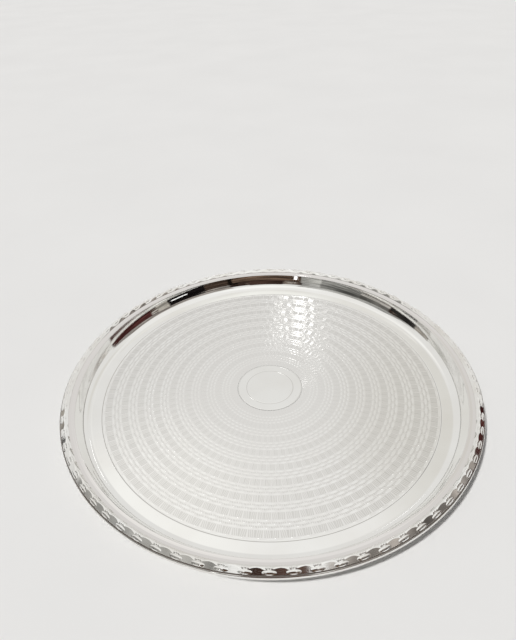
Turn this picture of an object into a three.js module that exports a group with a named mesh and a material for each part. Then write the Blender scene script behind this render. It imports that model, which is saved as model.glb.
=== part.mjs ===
// A round silver-plated salver: a spun tray plate with a turned-up wall and a
// flat border, a die-struck gadroon-and-bead mount soldered on top of the
// border, the soft solder that fills the hollow back of that mount, and a
// plain wire around the outer edge.
// Millimetres, +Z up, the underside of the plate on z = 0.

import * as THREE from 'three';

// Driving dimensions.
const trayDiameter = 305;
const sheet = 1.2; // thickness of the plate's metal
const wallRise = 12.5; // from the floor up to the top of the border
const wallSlope = THREE.MathUtils.degToRad(68);
const repeats = 74; // gadroons around the mount

// Radii, as shares of the tray's own radius.
const trayRadius = trayDiameter / 2;
const engravedRadius = trayRadius / 1.22;
const bossRadius = 0.142 * engravedRadius; // plain disc in the middle
const bossRingRadius = 0.192 * engravedRadius; // plain ring around the disc
const floorRadius = 1.062 * engravedRadius; // where the floor starts to curve up

// Heights.
const floorTop = sheet;
const borderTop = floorTop + wallRise;
const engravedDepth = 0.15;
const bendRadius = 7; // inner radius of the bend at the foot of the wall
const cornerRadius = 1; // outer radius of the corner at the top of the wall

// The rim, measured inwards from the edge of the tray.
const clearance = 0.3; // between pieces that touch on the real tray
const wireWidth = 2;
const wireTop = borderTop - 0.6;
const wireHeight = 3.1;
const plateEdge = trayRadius - wireWidth - clearance;
const mountOuter = trayRadius - 1;
const mountInner = mountOuter - 5.4;
const mountRise = 2; // crest of the gadroons above the border
const gadroonDepth = 0.5; // how far the mount sinks between two gadroons
const mountSkin = 0.4; // metal left over the hollow at the thinnest place
const mountWall = 0.8; // width of the mount's two feet
const hollowTop = borderTop + mountRise - gadroonDepth - mountSkin;
const hollowInner = mountInner + mountWall;
const hollowOuter = mountOuter - mountWall - 0.6;

const sidesOfPlainRings = 96;
const sidesOfMount = 4 * repeats;

function silver(name, colour, roughness) {
  const material = new THREE.MeshStandardMaterial({ color: colour, roughness, metalness: 1 });
  material.name = name;
  return material;
}

// Spins a closed outline, given as [radius, height] pairs, about the Z axis.
function spin(outline, sides) {
  const points = outline.map(([radius, height]) => new THREE.Vector2(radius, height));
  const geometry = new THREE.LatheGeometry(points, sides);
  geometry.rotateX(Math.PI / 2);
  return geometry;
}

// Points of an arc about a centre; the angle is the surface's slope.
function arc(centre, radius, from, to, steps) {
  const points = [];
  for (let step = 0; step <= steps; step += 1) {
    const slope = THREE.MathUtils.lerp(from, to, step / steps);
    points.push([centre[0] + radius * Math.sin(slope), centre[1] - radius * Math.cos(slope)]);
  }
  return points;
}

// The plate is one sheet: floor, bend, steep wall and flat border.
function trayPlate() {
  const bendCentre = [floorRadius, floorTop + bendRadius];
  const innerBend = arc(bendCentre, bendRadius, 0, wallSlope, 4);
  const outerBend = arc(bendCentre, bendRadius + sheet, 0, wallSlope, 4);

  const wallFoot = innerBend[innerBend.length - 1];
  const wallRun = (borderTop - wallFoot[1]) / Math.tan(wallSlope);
  const wallTop = wallFoot[0] + wallRun;
  const cornerReach = cornerRadius * Math.tan(wallSlope / 2);
  const cornerCentre = [wallTop + cornerReach, borderTop - cornerRadius];
  const corner = arc(cornerCentre, -cornerRadius, wallSlope, 0, 2);

  const outerFoot = outerBend[outerBend.length - 1];
  const outerTop = outerFoot[0] + (borderTop - sheet - outerFoot[1]) / Math.tan(wallSlope);

  const floor = [
    [0, floorTop],
    [bossRadius, floorTop],
    [bossRadius + engravedDepth, floorTop - engravedDepth],
    [bossRingRadius, floorTop - engravedDepth],
    [bossRingRadius + engravedDepth, floorTop],
    [bossRingRadius + 1, floorTop],
    [bossRingRadius + 1 + engravedDepth, floorTop - engravedDepth],
    [engravedRadius, floorTop - engravedDepth],
    [engravedRadius + engravedDepth, floorTop],
  ];
  const border = [
    [plateEdge, borderTop],
    [plateEdge, borderTop - sheet],
    [outerTop, borderTop - sheet],
  ];
  const outline = [...floor, ...innerBend, ...corner, ...border, ...outerBend.reverse(), [0, 0]];
  return spin(outline.reverse(), sidesOfPlainRings);
}

// The mount is a struck shell: domed above, hollow below, and its crest rises
// and falls once for each gadroon.
function borderMount() {
  const seat = borderTop + clearance;
  const crest = borderTop + mountRise;
  const width = mountOuter - mountInner;
  const skirt = wireTop + clearance;
  const hollowSlant = 0.3;
  const outline = [
    [mountInner, seat],
    [hollowInner, seat],
    [hollowInner + hollowSlant, hollowTop],
    [hollowOuter - hollowSlant, hollowTop],
    [hollowOuter, seat],
    [mountOuter - mountWall, skirt],
    [mountOuter, skirt],
    [mountOuter - 0.1 * width, borderTop + 0.6 * mountRise],
    [mountOuter - 0.45 * width, crest],
    [mountInner + 0.2 * width, borderTop + 0.75 * mountRise],
    [mountInner, seat],
  ];
  const geometry = spin(outline, sidesOfMount);
  sinkBetweenGadroons(geometry, seat, crest);
  return geometry;
}

// Lowers the top of the mount between the gadroons, and leaves its hollow
// underside alone.
function sinkBetweenGadroons(geometry, seat, crest) {
  const position = geometry.getAttribute('position');
  for (let index = 0; index < position.count; index += 1) {
    const height = position.getZ(index);
    if (height > hollowTop + 0.01) {
      const angle = Math.atan2(position.getY(index), position.getX(index));
      const between = (1 - Math.cos(repeats * angle)) / 2;
      const share = (height - seat) / (crest - seat);
      position.setZ(index, height - gadroonDepth * share * between);
    }
  }
  geometry.computeVertexNormals();
}

// Soft solder run into the hollow of the mount before it was fixed down.
function mountFilling() {
  const bottom = borderTop + clearance;
  const top = hollowTop - clearance;
  const inner = hollowInner + 2 * clearance;
  const outer = hollowOuter - 2 * clearance;
  const outline = [
    [inner, bottom],
    [outer, bottom],
    [outer, top],
    [inner, top],
    [inner, bottom],
  ];
  return spin(outline, sidesOfPlainRings);
}

// A stout wire, round on the outside, soldered against the cut edge of the plate.
function edgeWire() {
  const inner = plateEdge + clearance;
  const outer = trayRadius;
  const top = wireTop;
  const bottom = wireTop - wireHeight;
  const bevel = 0.7;
  const outline = [
    [inner, bottom],
    [outer - bevel, bottom],
    [outer, bottom + bevel],
    [outer, top - bevel],
    [outer - 0.3 * bevel, top - 0.3 * bevel],
    [outer - bevel, top],
    [inner, top],
    [inner, bottom],
  ];
  return spin(outline, sidesOfPlainRings);
}

const pieces = [
  ['tray_plate', trayPlate(), silver('polished_silver_plate', 0xdedcd6, 0.08)],
  ['border_mount', borderMount(), silver('struck_silver', 0xd9d6cf, 0.12)],
  ['mount_filling', mountFilling(), silver('soft_solder', 0x8d8c8a, 0.6)],
  ['edge_wire', edgeWire(), silver('drawn_silver_wire', 0xdbd8d2, 0.1)],
];

const salver = new THREE.Group();
salver.name = 'silver_salver';
for (const [name, geometry, material] of pieces) {
  const mesh = new THREE.Mesh(geometry, material);
  mesh.name = name;
  salver.add(mesh);
}

export default salver;
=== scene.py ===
"""The visual model of the silver salver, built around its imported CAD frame. Metres, +Z up."""

import math

import bmesh
import bpy
import numpy as np
from mathutils import Matrix, Vector


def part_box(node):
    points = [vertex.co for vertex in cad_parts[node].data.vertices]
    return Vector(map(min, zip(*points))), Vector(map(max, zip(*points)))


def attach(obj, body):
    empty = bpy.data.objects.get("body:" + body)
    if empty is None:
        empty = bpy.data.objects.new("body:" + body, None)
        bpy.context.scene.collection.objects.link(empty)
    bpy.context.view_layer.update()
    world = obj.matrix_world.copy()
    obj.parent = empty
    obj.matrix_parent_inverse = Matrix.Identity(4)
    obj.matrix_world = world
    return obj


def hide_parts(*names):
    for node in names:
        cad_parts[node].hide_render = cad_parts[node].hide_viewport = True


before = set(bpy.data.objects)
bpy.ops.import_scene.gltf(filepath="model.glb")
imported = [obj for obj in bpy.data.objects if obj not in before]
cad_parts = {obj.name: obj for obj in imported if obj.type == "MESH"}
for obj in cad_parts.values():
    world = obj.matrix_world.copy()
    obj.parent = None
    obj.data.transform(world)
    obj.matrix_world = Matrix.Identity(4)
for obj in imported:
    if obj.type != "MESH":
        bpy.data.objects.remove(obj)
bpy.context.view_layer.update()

MM = 0.001

# Sizes that the frame gives.
PLATE_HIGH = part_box("tray_plate")[1]
MOUNT_LOW, MOUNT_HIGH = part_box("border_mount")
WIRE_LOW, WIRE_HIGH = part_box("edge_wire")
FILLING_LOW, FILLING_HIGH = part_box("mount_filling")
TRAY_RADIUS = WIRE_HIGH[0]
PLATE_EDGE = PLATE_HIGH[0]
BORDER_TOP = PLATE_HIGH[2]

# The same shape and shares as in the CAD.
SHEET = 1.2 * MM
FLOOR_TOP = SHEET
ENGRAVED_RADIUS = TRAY_RADIUS / 1.22
BOSS_RADIUS = 0.142 * ENGRAVED_RADIUS
BOSS_RING_RADIUS = 0.192 * ENGRAVED_RADIUS
FLOOR_RADIUS = 1.062 * ENGRAVED_RADIUS
BEND_RADIUS = 7 * MM
WALL_SLOPE = math.radians(68)

# Finer than in the CAD: the wall is a little hollow, the corner above it is tighter, and the border falls
# a little from the mount to that corner.
WALL_BULGE = 0.2 * MM
CORNER_RADIUS = 0.45 * MM
BORDER_FALL = 0.8 * MM
EDGE_ROUND = 0.25 * MM

# The engine turning: wide bands of fine hatching, and between them groups of three rows of dashes.
# Both keep step with the same number of waves to a turn; the hatching leans with each half wave.
WAVES = 80
LINES_PER_WAVE = 8
SIDES = WAVES * LINES_PER_WAVE * 2
GROUPS = 8
GROUP_PITCH = 0.0934 * ENGRAVED_RADIUS
OUTER_ROW = 0.9955 * ENGRAVED_RADIUS
ROW_PITCH = 0.0205 * ENGRAVED_RADIUS
DASH_HALF_WIDTH = 0.0053 * ENGRAVED_RADIUS
FIRST_DASH_ANGLE = 0.08 * 2 * math.pi / WAVES
HATCH_LEAN = 0.05

# The hatched field lies a little below the dashes. A hatched line's depth is a share of its radius, less
# in every other half wave and more in the narrow strips between the rows of dashes. A line as deep as
# TONED_DEPTH has its full tone.
FIELD_DEPTH = 0.04 * MM
FIELD_TOP = FLOOR_TOP - FIELD_DEPTH
LINE_DEPTH = 0.02 * MM / ENGRAVED_RADIUS
SHALLOWER = 0.75
STRIP_SHARE = 1.2
TONED_DEPTH = 0.0115 * MM

# The struck mount: a roll that falls outward in a plain slope, with gadroons on its crest, and between
# each two of them three beads above a lobe whose foot is sunk in the slope. Half sizes are along the rim
# and across it.
REPEATS = 74
STEPS_PER_REPEAT = 36
BORDER_IN = MOUNT_HIGH[0] - 5.4 * MM
CREST_IN = BORDER_IN + 1.75 * MM
CREST_OUT = BORDER_IN + 2.1 * MM
ROLL_TOP = BORDER_TOP + 1.3 * MM
OUTER_SLOPE = math.tan(math.radians(33))
OUTER_SLOPE_TOP = BORDER_TOP + 1.96 * MM
GADROON_RISE = 0.6 * MM
GADROON_HALF_SHARE = 0.36
GADROON_LEAN = 0.6
LOBE_MIDDLE = MOUNT_HIGH[0] - 1.05 * MM
LOBE_SUNK = 0.3 * MM
LOBE_TOP = BORDER_TOP + 1.15 * MM
LOBE_SLOPE = 0.6
LOBE_HALF_SIZE = (3.9 * MM, 1.05 * MM)
BEAD_SPACING = 1.4 * MM
BEAD_FOOT = BORDER_TOP + 1.35 * MM
BEAD_TOP = BORDER_TOP + 1.93 * MM
BEAD_HALF_SIZE = (0.8 * MM, 0.9 * MM)

# The room that the silver mirrors, in screen colours. Azimuth 0 is ahead of the camera, 90 to its right.
ROOM_RADIUS = 10.0
BACKDROP_RADIUS = 12.0
WALL = (229, 228, 226)
# Its soft patches: azimuth, elevation, half-width of the core and of the whole, and colour.
SOFT_PATCHES = (
    (0, 90, 33, 46, (240, 239, 237)),
    (30, 44, 4, 16, (220, 218, 213)),
    (-20, 56, 3, 13, (249, 248, 245)),
    (180, 68, 10, 26, (255, 255, 253)),
)
# The tones of its dark side, each at its place in the noise.
CLUTTER = (
    (0.30, (16, 12, 11)),
    (0.46, (62, 48, 41)),
    (0.52, (30, 22, 20)),
    (0.58, (112, 98, 88)),
    (0.66, (190, 186, 180)),
)
# Things in the room: azimuths, elevations, distance in metres and colour.
FURNITURE = (
    ("upper_right", (70, 157), (16, 47), 2.3, (140, 134, 129)),
    ("upper_left", (204, 275), (18, 50), 2.3, (152, 151, 148)),
    ("chair", (68, 100), (-4, 16), 0.72, (66, 38, 36)),
    ("pale_door", (108, 116), (-4, 18), 2.28, (165, 160, 152)),
    ("dark_door", (116, 141), (-4, 19), 2.27, (16, 13, 13)),
    ("grey_pane", (130, 140), (7, 11), 2.25, (130, 128, 126)),
    ("bookcase", (141, 156), (-4, 19), 2.24, (58, 47, 40)),
    ("black_frame", (156, 162), (-4, 20), 2.23, (18, 14, 11)),
    ("brown_coat", (157, 204), (-4, 20), 0.48, (88, 72, 60)),
    ("phone_and_hands", (168, 193), (20, 41), 0.46, (66, 50, 44)),
    ("pale_frame", (203, 216), (-4, 19), 2.2, (150, 149, 145)),
    ("black_shelf", (203, 216), (10, 14), 2.19, (24, 24, 24)),
    ("grey_cabinet", (216, 242), (-4, 21), 2.18, (110, 109, 106)),
    ("dark_shelf", (242, 262), (-4, 4), 2.17, (82, 79, 75)),
    ("light_shelf", (242, 262), (4, 10), 2.16, (172, 168, 163)),
    ("upper_shelf", (242, 262), (10, 18), 2.15, (104, 102, 98)),
    ("dark_sofa", (266, 285), (-4, 12), 0.7, (48, 46, 44)),
    ("sofa_end", (285, 296), (-4, 10), 0.7, (134, 129, 122)),
)
# Bright things in the room: azimuths, elevations, distance in metres and strength.
BRIGHT_THINGS = (
    ("window_gap", (5.45, 6.25), (32, 39.5), 9.0, 3),
    ("window_behind", (200.2, 202.0), (3, 15), 0.45, 2),
    ("lit_pane", (118, 129), (8, 11), 1.9, 1.2),
)


def srgb(red, green, blue):
    """Linear colour from the three parts, 0 to 255, of a screen colour."""
    parts = []
    for part in (red, green, blue):
        share = part / 255
        parts.append(share / 12.92 if share <= 0.04045 else ((share + 0.055) / 1.055) ** 2.4)
    return (*parts, 1.0)


# ---------------------------------------------------------------- meshes


def ring_mesh(name, radius, height, closed, angle=None, flat_rows=()):
    """A mesh from rows of rings: radius, height and angle are arrays of row by side.
    A closed one joins its last row to its first; an open one is capped to the axis at both ends.
    The faces outward of flat_rows aren't smoothed, so they glitter as cut facets do."""
    rows, sides = radius.shape
    if angle is None:
        angle = np.arange(sides) * 2 * np.pi / sides
    points = np.stack([radius * np.cos(angle), radius * np.sin(angle), height], axis=-1).reshape(-1, 3)
    index = np.arange(rows * sides).reshape(rows, sides)
    if closed:
        index = np.vstack([index, index[:1]])
    here, there = index[:-1], index[1:]
    quads = np.stack([here, np.roll(here, -1, 1), np.roll(there, -1, 1), there], axis=-1).reshape(-1, 4)
    loops = [quads.ravel()]
    sizes = [np.full(len(quads), 4)]
    if not closed:
        first, last = len(points), len(points) + 1
        ends = [[0, 0, height[0].mean()], [0, 0, height[-1].mean()]]
        points = np.vstack([points, ends])
        start, finish = index[0], index[-1]
        caps = np.vstack(
            [
                np.stack([np.full(sides, first), np.roll(start, -1), start], axis=-1),
                np.stack([np.full(sides, last), finish, np.roll(finish, -1)], axis=-1),
            ]
        )
        loops.append(caps.ravel())
        sizes.append(np.full(len(caps), 3))
    loops = np.concatenate(loops).astype(np.int32)
    sizes = np.concatenate(sizes).astype(np.int32)
    starts = np.concatenate([[0], np.cumsum(sizes)[:-1]]).astype(np.int32)
    mesh = bpy.data.meshes.new(name)
    mesh.vertices.add(len(points))
    mesh.vertices.foreach_set("co", points.astype(np.float32).ravel())
    mesh.loops.add(len(loops))
    mesh.loops.foreach_set("vertex_index", loops)
    mesh.polygons.add(len(sizes))
    mesh.polygons.foreach_set("loop_start", starts)
    mesh.update(calc_edges=True)
    smooth = np.ones(len(sizes), bool)
    for row in flat_rows:
        smooth[row * sides : (row + 1) * sides] = False
    mesh.polygons.foreach_set("use_smooth", smooth)
    mesh.validate()
    thing = bpy.data.objects.new(name, mesh)
    bpy.context.scene.collection.objects.link(thing)
    return thing


def arc(centre, radius, start, end, steps):
    """Points of an arc about a centre; the angle is the slope of the surface."""
    slopes = [start + (end - start) * step / steps for step in range(steps + 1)]
    return [(centre[0] + radius * math.sin(s), centre[1] - radius * math.cos(s)) for s in slopes]


def plain_rows(outline, sides):
    """Radius and height arrays for an outline that is the same all the way round."""
    outline = np.array(outline)
    return (
        np.repeat(outline[:, :1], sides, axis=1),
        np.repeat(outline[:, 1:], sides, axis=1),
    )


def column_angles():
    """The angle of each column of points. A hatched line is a pair of columns, a shallow side apart,
    and its steep side runs on to the next pair."""
    line = np.arange(WAVES * LINES_PER_WAVE)
    columns = np.stack([line + 0.16, line + 0.84], axis=-1).ravel()
    return columns * 2 * np.pi / len(line) + FIRST_DASH_ANGLE


def wave_phase(row):
    """0 where a row has the middle of a dash; neighbouring rows are half a wave apart."""
    return WAVES * (column_angles() - FIRST_DASH_ANGLE) + np.pi * ((row + 1) % 2)


def row_offset(row):
    """How far a row of dashes lies inside the outermost one. Row 0 stands alone, the others go in
    threes."""
    if row == 0:
        return 0.0
    group, place = divmod(row - 1, 3)
    return group * GROUP_PITCH + GROUP_PITCH - (2 - place) * ROW_PITCH


def dash_row(row):
    """A row of bright lens-shaped cuts, each with a low ridge along it: its rings' radii and heights."""
    lens = np.sqrt(np.clip((np.cos(wave_phase(row)) + 0.45) / 1.45, 0.001, 1))
    middle = np.full(SIDES, OUTER_ROW - row_offset(row))
    width = DASH_HALF_WIDTH * lens
    deep = np.full(SIDES, -FIELD_DEPTH)
    edge = np.where(lens > 0.1, -0.3 * FIELD_DEPTH, -FIELD_DEPTH)
    ridge = np.where(lens > 0.1, 0.0, -FIELD_DEPTH)
    step = 0.12 * MM
    inner, outer = middle - width, middle + width
    return [inner - step, inner, middle, outer, outer + step], [deep, edge, ridge, edge, deep]


def hatching(row, radius, share):
    """Heights of a ring of hatching. Every other half wave is cut shallower and has its steep sides
    facing the other way, and the lines are cut deeper where they lie wider apart."""
    rising = np.sin(wave_phase(row)) > 0
    valley = (np.arange(SIDES) % 2 == 0) == rising
    depth = share * LINE_DEPTH * radius * np.where(rising, 1.0, SHALLOWER)
    return -FIELD_DEPTH - np.where(valley, depth, 0)


def hatched_band(inner, outer, row):
    """Radii, heights and leaning angles of the rings of a hatched band."""
    radii, heights, angles = [], [], []
    for share, depth in ((0, 0), (0.04, 1), (0.35, 1), (0.65, 1), (0.96, 1), (1, 0)):
        radius = inner + share * (outer - inner)
        lean = HATCH_LEAN * (1 - 2 * share) * np.sin(wave_phase(row))
        radii.append(np.full(SIDES, radius))
        heights.append(hatching(row, radius, depth))
        angles.append(column_angles() + lean * 2 * np.pi / WAVES)
    return radii, heights, angles


def engraved_rows():
    """The engine-turned field, from its inner edge to its outer edge."""
    gap = DASH_HALF_WIDTH + 0.2 * MM
    straight = column_angles()
    last = 3 * GROUPS
    edge = BOSS_RING_RADIUS + 0.5 * MM
    radii, heights, angles = hatched_band(edge + 0.1 * MM, OUTER_ROW - row_offset(last) - gap, last)
    radii.insert(0, np.full(SIDES, edge))
    heights.insert(0, np.zeros(SIDES))
    angles.insert(0, straight)
    for row in range(last, -1, -1):
        dashes = dash_row(row)
        radii += dashes[0]
        heights += dashes[1]
        angles += [straight] * len(dashes[0])
        if row % 3 == 1:
            inner = OUTER_ROW - row_offset(row) + gap
            outer = OUTER_ROW - row_offset(row - 1) - gap
            band = hatched_band(inner, outer, row - 1)
            radii += band[0]
            heights += band[1]
            angles += band[2]
        elif row:
            middle = OUTER_ROW - (row_offset(row) + row_offset(row - 1)) / 2
            radii.append(np.full(SIDES, middle))
            heights.append(hatching(row, middle, STRIP_SHARE))
            angles.append(straight)
    return np.array(radii), FLOOR_TOP + np.array(heights), np.array(angles)


def groove(radius, width, depth, top):
    """A fine turned line, with the flat close to it on both sides."""
    return [
        (radius - 0.9 * width, top),
        (radius - 0.5 * width, top),
        (radius, top - depth),
        (radius + 0.5 * width, top),
        (radius + 0.9 * width, top),
    ]


def plate_outline():
    """The plain stretches of the plate: inside the engraving, and from it round to the underside."""
    bend_centre = (FLOOR_RADIUS, FLOOR_TOP + BEND_RADIUS)
    bend = arc(bend_centre, BEND_RADIUS, 0, WALL_SLOPE, 14)
    under_bend = arc(bend_centre, BEND_RADIUS + SHEET, WALL_SLOPE, 0, 14)

    foot = bend[-1]
    corner_top = BORDER_TOP - BORDER_FALL
    top = foot[0] + (corner_top - foot[1]) / math.tan(WALL_SLOPE)
    corner_centre = (top + CORNER_RADIUS * math.tan(WALL_SLOPE / 2), corner_top - CORNER_RADIUS)
    corner = arc(corner_centre, -CORNER_RADIUS, WALL_SLOPE, 0, 6)
    wall = []
    for step in range(1, 16):
        share = step / 16
        bulge = WALL_BULGE * math.sin(math.pi * share)
        wall.append(
            (
                foot[0] + share * (corner[0][0] - foot[0]) + bulge * math.sin(WALL_SLOPE),
                foot[1] + share * (corner[0][1] - foot[1]) - bulge * math.cos(WALL_SLOPE),
            )
        )
    outer_foot = under_bend[0]
    under_top = BORDER_TOP - SHEET
    under_corner = under_top - BORDER_FALL
    outer_top = outer_foot[0] + (under_corner - outer_foot[1]) / math.tan(WALL_SLOPE)
    border = [
        (corner[-1][0] + 0.5 * MM, corner_top),
        *groove(corner[-1][0] + 1.3 * MM, 0.5 * MM, 0.06 * MM, corner_top),
        (BORDER_IN + 0.3 * MM, BORDER_TOP),
        (PLATE_EDGE - EDGE_ROUND, BORDER_TOP),
        (PLATE_EDGE, BORDER_TOP - EDGE_ROUND),
        (PLATE_EDGE, under_top + EDGE_ROUND),
        (PLATE_EDGE - EDGE_ROUND, under_top),
        (BORDER_IN, under_top),
        (outer_top + 0.6 * MM, under_corner),
        (outer_top, under_corner - 0.3 * MM),
    ]
    middle = [
        (0.3 * BOSS_RADIUS, FLOOR_TOP),
        (0.8 * BOSS_RADIUS, FLOOR_TOP),
        *groove(BOSS_RADIUS, 0.9 * MM, 0.1 * MM, FLOOR_TOP),
        *groove(BOSS_RING_RADIUS, 0.7 * MM, 0.08 * MM, FLOOR_TOP),
    ]
    rim = [
        *groove(1.0065 * ENGRAVED_RADIUS, 0.6 * MM, 0.3 * MM, FLOOR_TOP),
        (ENGRAVED_RADIUS + 2 * MM, FLOOR_TOP),
        (FLOOR_RADIUS - 0.4 * MM, FLOOR_TOP),
        *bend,
        *wall,
        *corner,
        *border,
        *under_bend,
        (0.9 * FLOOR_RADIUS, 0.0),
        (0.5 * FLOOR_RADIUS, 0.0),
    ]
    return middle, rim


def make_plate():
    """The spun sheet, plain but for its engraved field."""
    middle, rim = plate_outline()
    straight = column_angles()
    inside, field, outside = plain_rows(middle, SIDES), engraved_rows(), plain_rows(rim, SIDES)
    radius = np.vstack([inside[0], field[0], outside[0]])
    height = np.vstack([inside[1], field[1], outside[1]])
    angle = np.vstack([np.tile(straight, (len(middle), 1)), field[2], np.tile(straight, (len(rim), 1))])
    cut = range(len(middle), len(middle) + len(field[0]) - 1)
    return ring_mesh("engine_turned_plate", radius, height, closed=False, angle=angle, flat_rows=cut)


def dome(along, across, half_length, half_width):
    """A smooth oval bump, 1 at its middle and 0 outside its edge."""
    inside = 1 - (along / half_length) ** 2 - (across / half_width) ** 2
    return np.sqrt(np.clip(inside, 0, 1))


def raised(height, base, top, share):
    """The higher of the surface so far and a bump between two levels."""
    return np.maximum(height, np.where(share > 0, base + (top - base) * share, 0))


def mount_relief(r, from_gadroon, from_beads, pitch):
    """Heights of the struck face at a radius and at a distance round the rim from the middle of the
    nearest gadroon and of the nearest cluster of beads."""
    edge = BORDER_TOP + 0.02 * MM
    inward = np.clip((CREST_IN - r) / (CREST_IN - BORDER_IN), 0, 1)
    from_middle = from_gadroon + GADROON_LEAN * (r - CREST_IN)
    gadroon = np.clip(1 - (from_middle / (GADROON_HALF_SHARE * pitch)) ** 2, 0, 1)
    crest = ROLL_TOP + GADROON_RISE * gadroon
    rise = edge + (crest - edge) * (1 - inward**1.2)
    slope = OUTER_SLOPE_TOP - OUTER_SLOPE * (r - CREST_OUT)
    height = np.minimum(rise, slope)

    from_lobe = r - LOBE_MIDDLE
    lobe = dome(from_beads, from_lobe, *LOBE_HALF_SIZE) ** 1.2
    height = raised(height, slope - LOBE_SUNK, LOBE_TOP - LOBE_SLOPE * from_lobe, lobe)
    for place in (-1, 0, 1):
        along = from_beads - place * BEAD_SPACING
        middle = CREST_IN + (0.3 + 0.15 * abs(place)) * MM
        bead = dome(along, r - middle, *BEAD_HALF_SIZE) ** 2
        height = raised(height, BEAD_FOOT, BEAD_TOP, bead)
    return height


def make_mount():
    """The struck border, as heights over a ring, hollow underneath where it is filled."""
    sides = REPEATS * STEPS_PER_REPEAT
    outer = MOUNT_HIGH[0] - 0.05 * MM
    inner_side = np.linspace(BORDER_IN, CREST_IN, 12)[:-1]
    across = np.concatenate([inner_side, np.linspace(CREST_IN, outer, 34)])
    pitch = 2 * math.pi * CREST_IN / REPEATS
    along = (np.arange(sides) % STEPS_PER_REPEAT) / STEPS_PER_REPEAT * pitch
    from_beads = np.where(along > pitch / 2, along - pitch, along)
    r = np.repeat(across[:, None], sides, axis=1)
    height = mount_relief(r, along - pitch / 2, from_beads, pitch)
    height = np.clip(height, MOUNT_LOW[2] + 0.05 * MM, MOUNT_HIGH[2])

    bottom = MOUNT_LOW[2] + 0.02 * MM
    under = [
        (outer, bottom),
        (PLATE_EDGE + 0.25 * MM, bottom),
        (PLATE_EDGE + 0.1 * MM, FILLING_LOW[2] - 0.05 * MM),
        (FILLING_HIGH[0] + 0.05 * MM, FILLING_HIGH[2] + 0.02 * MM),
        (BORDER_IN + 1.05 * MM, FILLING_HIGH[2] + 0.02 * MM),
        (BORDER_IN + 0.6 * MM, BORDER_TOP + 0.01 * MM),
        (BORDER_IN, BORDER_TOP),
    ]
    under_radius, under_height = plain_rows(under, sides)
    return ring_mesh(
        "gadroon_and_bead_mount",
        np.vstack([r, under_radius]),
        np.vstack([height, under_height]),
        closed=True,
    )


def make_wire():
    """A stout drawn wire: a flat outer face with rounded corners."""
    inner = PLATE_EDGE + 0.05 * MM
    outer, low, high = TRAY_RADIUS, WIRE_LOW[2], WIRE_HIGH[2]
    big, small = 1.1 * MM, 0.25 * MM
    outline = [
        (inner, low + small),
        (inner + small, low),
        *arc((outer - big, low + big), big, 0, math.pi / 2, 6),
        *arc((outer - big, high - big), big, math.pi / 2, math.pi, 6),
        (inner + small, high),
        (inner, high - small),
    ]
    radius, height = plain_rows(outline, SIDES)
    return ring_mesh("edge_wire_round", radius, height, closed=True)


# ---------------------------------------------------------------- materials


def node_material(name):
    """An empty material with its shader in place."""
    material = bpy.data.materials.new(name)
    material.use_nodes = True
    nodes, links = material.node_tree.nodes, material.node_tree.links
    nodes.clear()
    shader = nodes.new("ShaderNodeBsdfPrincipled")
    output = nodes.new("ShaderNodeOutputMaterial")
    links.new(shader.outputs["BSDF"], output.inputs["Surface"])
    return material, nodes, links, shader


def noise(nodes, links, coordinates, scale, detail, roughness=0.5):
    texture = nodes.new("ShaderNodeTexNoise")
    texture.inputs["Scale"].default_value = scale
    texture.inputs["Detail"].default_value = detail
    texture.inputs["Roughness"].default_value = roughness
    links.new(coordinates, texture.inputs["Vector"])
    return texture.outputs["Fac"]


def ramp(nodes, links, value, stops):
    """A colour ramp of (place, colour) stops driven by a value."""
    node = nodes.new("ShaderNodeValToRGB")
    elements = node.color_ramp.elements
    elements[0].position, elements[0].color = stops[0]
    elements[1].position, elements[1].color = stops[-1]
    for place, colour in stops[1:-1]:
        element = elements.new(place)
        element.color = colour
    links.new(value, node.inputs["Fac"])
    return node.outputs["Color"]


def span(nodes, links, value, low, high):
    """Stretches a 0 to 1 value to low to high."""
    node = nodes.new("ShaderNodeMapRange")
    node.inputs["To Min"].default_value = low
    node.inputs["To Max"].default_value = high
    links.new(value, node.inputs["Value"])
    return node.outputs["Result"]


def dot(nodes, links, vector, axis):
    node = nodes.new("ShaderNodeVectorMath")
    node.operation = "DOT_PRODUCT"
    node.inputs[1].default_value = axis
    links.new(vector, node.inputs[0])
    return node.outputs["Value"]


def along_z(nodes, links, vector):
    node = nodes.new("ShaderNodeSeparateXYZ")
    links.new(vector, node.inputs["Vector"])
    return node.outputs["Z"]


def smooth_step(nodes, links, value, low, high):
    """0 below low, 1 above high and smooth between them."""
    node = nodes.new("ShaderNodeMapRange")
    node.interpolation_type = "SMOOTHSTEP"
    node.inputs["From Min"].default_value = low
    node.inputs["From Max"].default_value = high
    links.new(value, node.inputs["Value"])
    return node.outputs["Result"]


def product(nodes, links, first, second):
    node = nodes.new("ShaderNodeMath")
    node.operation = "MULTIPLY"
    links.new(first, node.inputs[0])
    links.new(second, node.inputs[1])
    return node.outputs["Value"]


def blend_colours(nodes, links, share, first, second):
    """Either colour is a socket or a plain colour."""
    node = nodes.new("ShaderNodeMix")
    node.data_type = "RGBA"
    links.new(share, node.inputs["Factor"])
    for socket, colour in ((node.inputs[6], first), (node.inputs[7], second)):
        if isinstance(colour, tuple):
            socket.default_value = colour
        else:
            links.new(colour, socket)
    return node.outputs[2]


def plus(nodes, links, first, second):
    node = nodes.new("ShaderNodeMath")
    node.operation = "ADD"
    links.new(first, node.inputs[0])
    links.new(second, node.inputs[1])
    return node.outputs["Value"]


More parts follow.
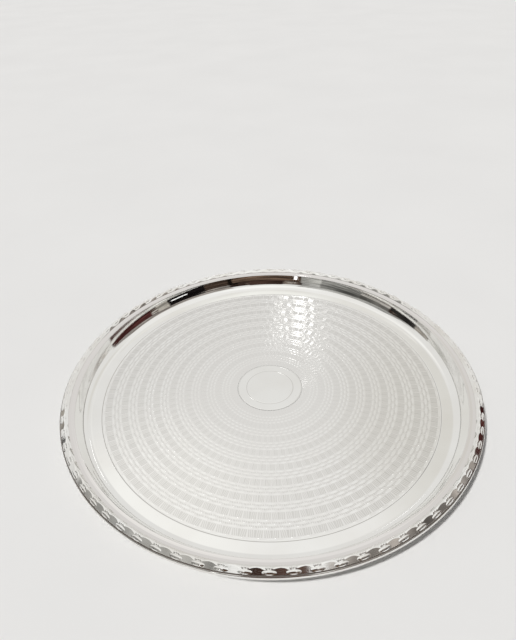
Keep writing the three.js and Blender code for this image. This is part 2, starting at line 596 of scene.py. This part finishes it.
def silver(name, bright, dull, roughness, scratch):
    """Polished silver plate: faint cloudy tarnish, wiping marks in the gloss and hair scratches."""
    material, nodes, links, shader = node_material(name)
    place = nodes.new("ShaderNodeTexCoord").outputs["Object"]
    clouds = noise(nodes, links, place, 28, 4)
    smears = noise(nodes, links, place, 90, 6, 0.6)
    hairs = noise(nodes, links, place, 2600, 2)
    links.new(ramp(nodes, links, clouds, [(0.3, dull), (0.62, bright)]), shader.inputs["Base Color"])
    links.new(span(nodes, links, smears, *roughness), shader.inputs["Roughness"])
    shader.inputs["Metallic"].default_value = 1.0
    bump = nodes.new("ShaderNodeBump")
    bump.inputs["Strength"].default_value = scratch
    bump.inputs["Distance"].default_value = 0.00002
    links.new(hairs, bump.inputs["Height"])
    links.new(bump.outputs["Normal"], shader.inputs["Normal"])
    return material


def tone_and_painted_shade(material, start, full, tone, dulling):
    """Lays a tone and some dulling over what faces up in a silver: none of it at the start height, all
    of it at the full one. On the wire's top the tone is painted shade."""
    nodes, links = material.node_tree.nodes, material.node_tree.links
    shader = nodes["Principled BSDF"]
    height = along_z(nodes, links, nodes["Texture Coordinate"].outputs["Object"])
    upward = along_z(nodes, links, nodes["Texture Coordinate"].outputs["Normal"])
    share = product(
        nodes,
        links,
        smooth_step(nodes, links, height, start, full),
        smooth_step(nodes, links, upward, 0, 0.3),
    )
    colour = shader.inputs["Base Color"].links[0].from_socket
    gloss = shader.inputs["Roughness"].links[0].from_socket
    links.new(blend_colours(nodes, links, share, colour, tone), shader.inputs["Base Color"])
    duller = plus(nodes, links, gloss, span(nodes, links, share, 0, dulling))
    links.new(duller, shader.inputs["Roughness"])


def matte(name, colour, other):
    """A dull cloth, faintly mottled between two colours."""
    material, nodes, links, shader = node_material(name)
    place = nodes.new("ShaderNodeTexCoord").outputs["Object"]
    mottle = noise(nodes, links, place, 6, 5)
    links.new(ramp(nodes, links, mottle, [(0.3, colour), (0.7, other)]), shader.inputs["Base Color"])
    shader.inputs["Roughness"].default_value = 0.9
    return material


def lit_material(name):
    """A surface that only gives light, for what the silver mirrors."""
    material = bpy.data.materials.new(name)
    material.use_nodes = True
    nodes, links = material.node_tree.nodes, material.node_tree.links
    nodes.clear()
    light = nodes.new("ShaderNodeEmission")
    output = nodes.new("ShaderNodeOutputMaterial")
    links.new(light.outputs["Emission"], output.inputs["Surface"])
    return material, nodes, links, light


def glow(name, strength, colour=(1, 1, 1, 1)):
    material, _, _, light = lit_material(name)
    light.inputs["Color"].default_value = colour
    light.inputs["Strength"].default_value = strength
    return material


def streaky(name, colour, distance):
    """Furniture out of focus: a colour broken into level streaks, darker and lighter."""
    material, nodes, links, light = lit_material(name)
    place = nodes.new("ShaderNodeTexCoord").outputs["Object"]
    stretch = nodes.new("ShaderNodeMapping")
    stretch.inputs["Scale"].default_value = (2.5 / distance, 2.5 / distance, 16 / distance)
    links.new(place, stretch.inputs["Vector"])
    streaks = noise(nodes, links, stretch.outputs["Vector"], 1.0, 4, 0.6)
    dark = tuple(0.35 * part for part in colour[:3]) + (1.0,)
    pale = tuple(min(1.0, 2.2 * part) for part in colour[:3]) + (1.0,)
    tones = ramp(nodes, links, streaks, [(0.36, dark), (0.5, colour), (0.66, pale)])
    links.new(tones, light.inputs["Color"])
    return material


# ---------------------------------------------------------------- studio


def make_camera():
    """A hand-held phone about 0.4 m away, looking down at the salver and turned a little on its axis."""
    down = math.radians(36.94)
    roll = math.radians(-2.25)
    ahead = Vector((0, math.cos(down), -math.sin(down)))
    level = Vector((1, 0, 0))
    upward = level.cross(ahead)
    right = level * math.cos(roll) + upward * math.sin(roll)
    above = upward * math.cos(roll) - level * math.sin(roll)
    place = Vector((-0.0565, -2.2857, 2.2338)) * ENGRAVED_RADIUS + Vector((0, 0, FLOOR_TOP))
    data = bpy.data.cameras.new("camera")
    data.sensor_width = 36
    data.lens = 29.09
    camera = bpy.data.objects.new("camera", data)
    turn = Matrix((right, above, -ahead)).transposed().to_4x4()
    camera.matrix_world = Matrix.Translation(place) @ turn
    bpy.context.scene.collection.objects.link(camera)
    bpy.context.scene.camera = camera
    return camera


def make_floor():
    half = 8.0
    corners = [(-half, -half, 0), (half, -half, 0), (half, half, 0), (-half, half, 0)]
    mesh = bpy.data.meshes.new("floor")
    mesh.from_pydata(corners, [], [(0, 1, 2, 3)])
    floor = bpy.data.objects.new("floor", mesh)
    floor.location.z = -0.0002
    mesh.materials.append(matte("pale_cloth", srgb(231, 230, 228), srgb(228, 227, 225)))
    bpy.context.scene.collection.objects.link(floor)


def direction(azimuth, elevation):
    """A unit vector; azimuth 0 is ahead of the camera (+Y) and 90 is to its right."""
    azimuth, elevation = math.radians(azimuth), math.radians(elevation)
    return Vector(
        (
            math.sin(azimuth) * math.cos(elevation),
            math.cos(azimuth) * math.cos(elevation),
            math.sin(elevation),
        )
    )


def scaled(nodes, links, vector, factor):
    node = nodes.new("ShaderNodeVectorMath")
    node.operation = "SCALE"
    node.inputs["Scale"].default_value = factor
    links.new(vector, node.inputs[0])
    return node.outputs["Vector"]


def make_card(name, azimuths, elevations, distance, material):
    """A curved card around the salver, seen only in reflections."""
    steps = 24
    points, faces = [], []
    for step in range(steps + 1):
        azimuth = azimuths[0] + (azimuths[1] - azimuths[0]) * step / steps
        for elevation in elevations:
            points.append(direction(azimuth, elevation) * distance)
        if step < steps:
            first = 2 * step
            faces.append((first, first + 1, first + 3, first + 2))
    mesh = bpy.data.meshes.new(name)
    mesh.from_pydata(points, [], faces)
    mesh.materials.append(material)
    hide_but_mirror(bpy.data.objects.new(name, mesh))


def make_window_light(azimuth, elevation, softness, strength):
    """The window's light on the cloth; the silver mirrors the room instead of it."""
    data = bpy.data.lights.new("window_light", "SUN")
    data.angle = math.radians(softness)
    data.energy = strength
    lamp = bpy.data.objects.new("window_light", data)
    lamp.rotation_euler = direction(azimuth, elevation).to_track_quat("Z", "Y").to_euler()
    lamp.visible_glossy = False
    bpy.context.scene.collection.objects.link(lamp)


def make_room():
    """A pale room with brighter and darker soft patches, and low down behind the camera its dark,
    cluttered side. Only the silver sees it."""
    material, nodes, links, light = lit_material("room_light")
    look = nodes.new("ShaderNodeNewGeometry").outputs["Position"]
    look = scaled(nodes, links, look, 1 / ROOM_RADIUS)
    colour = srgb(*WALL)
    for azimuth, elevation, core, reach, patch in SOFT_PATCHES:
        along = dot(nodes, links, look, direction(azimuth, elevation))
        low, high = math.cos(math.radians(reach)), math.cos(math.radians(core))
        share = smooth_step(nodes, links, along, low, high)
        colour = blend_colours(nodes, links, share, colour, srgb(*patch))

    stretch = nodes.new("ShaderNodeMapping")
    stretch.inputs["Scale"].default_value = (2.2, 2.2, 12)
    links.new(look, stretch.inputs["Vector"])
    clutter = noise(nodes, links, stretch.outputs["Vector"], 1.6, 5, 0.6)
    dark = ramp(nodes, links, clutter, [(place, srgb(*tone)) for place, tone in CLUTTER])
    behind = smooth_step(nodes, links, dot(nodes, links, look, (0, -1, 0)), -0.25, 0.1)
    height = dot(nodes, links, look, (0, 0, 1))
    above_table = smooth_step(nodes, links, height, -0.12, -0.04)
    below_top = smooth_step(nodes, links, height, 0.48, 0.38)
    share = product(nodes, links, product(nodes, links, above_table, below_top), behind)
    colour = blend_colours(nodes, links, share, colour, dark)

    links.new(colour, light.inputs["Color"])
    hide_but_mirror(make_shell("room", ROOM_RADIUS, material))


def make_shell(name, radius, material):
    shell = bmesh.new()
    bmesh.ops.create_icosphere(shell, subdivisions=5, radius=radius)
    mesh = bpy.data.meshes.new(name)
    shell.to_mesh(mesh)
    shell.free()
    mesh.materials.append(material)
    return bpy.data.objects.new(name, mesh)


def make_backdrop():
    """A pale surround that only the camera sees, above the cloth's horizon."""
    backdrop = make_shell("backdrop", BACKDROP_RADIUS, glow("pale_backdrop", 1.0, srgb(226, 225, 222)))
    backdrop.visible_diffuse = False
    backdrop.visible_glossy = False
    backdrop.visible_shadow = False
    bpy.context.scene.collection.objects.link(backdrop)


def hide_but_mirror(thing):
    """Adds a stage object that is seen only in the silver."""
    thing.visible_camera = False
    thing.visible_diffuse = False
    thing.visible_shadow = False
    bpy.context.scene.collection.objects.link(thing)


def make_world():
    """An even light for the cloth."""
    world = bpy.data.worlds.new("soft_light")
    world.use_nodes = True
    background = world.node_tree.nodes["Background"]
    background.inputs["Color"].default_value = srgb(235, 235, 236)
    background.inputs["Strength"].default_value = 0.3
    bpy.context.scene.world = world
    bpy.context.scene.view_settings.view_transform = "Standard"



# ---------------------------------------------------------------- the scene


make_camera()
make_floor()
make_world()
make_backdrop()
make_room()
for name, azimuths, elevations, distance, tone in FURNITURE:
    make_card(name, azimuths, elevations, distance, streaky(name, srgb(*tone), distance))
for name, azimuths, elevations, distance, strength in BRIGHT_THINGS:
    make_card(name, azimuths, elevations, distance, glow(name, strength))
make_window_light(azimuth=230, elevation=60, softness=5, strength=2.7)

SILVER_BRIGHT = srgb(249, 249, 247)
plate_silver = silver("polished_silver_plate", SILVER_BRIGHT, srgb(244, 243, 240), (0.02, 0.06), 0.15)
# In turn the border, the engraved field, the lines cut in it, and the deep line around it.
tone_and_painted_shade(plate_silver, BORDER_TOP - 2 * MM, BORDER_TOP - 0.5 * MM, srgb(236, 233, 231), 0)
tone_and_painted_shade(plate_silver, FLOOR_TOP, FIELD_TOP, srgb(242, 241, 239), 0.045)
tone_and_painted_shade(plate_silver, FIELD_TOP, FIELD_TOP - TONED_DEPTH, srgb(223, 222, 219), 0)
tone_and_painted_shade(plate_silver, FLOOR_TOP - 0.16 * MM, FLOOR_TOP - 0.28 * MM, srgb(150, 146, 140), 0.1)
mount_silver = silver("struck_silver", SILVER_BRIGHT, srgb(232, 229, 223), (0.04, 0.12), 0.25)
wire_silver = silver("drawn_silver_wire", SILVER_BRIGHT, srgb(236, 233, 228), (0.04, 0.12), 0.2)
# Painted shade: the top of the wire is darkened as if shaded in the crevice between the wire and the
# mount.
tone_and_painted_shade(wire_silver, WIRE_HIGH[2] - 0.18 * MM, WIRE_HIGH[2] - 0.1 * MM, srgb(106, 98, 92), 0.2)
solder = silver("soft_solder", srgb(150, 148, 145), srgb(120, 118, 116), (0.45, 0.7), 0.6)

for maker, node, slot, material in (
    (make_plate, "tray_plate", "polished_silver_plate", plate_silver),
    (make_mount, "border_mount", "struck_silver", mount_silver),
    (make_wire, "edge_wire", "drawn_silver_wire", wire_silver),
):
    piece = maker()
    piece.data.materials.append(material)
    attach(piece, "root")
    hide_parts(node)

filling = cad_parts["mount_filling"]
for index in range(len(filling.material_slots)):
    filling.material_slots[index].material = solder
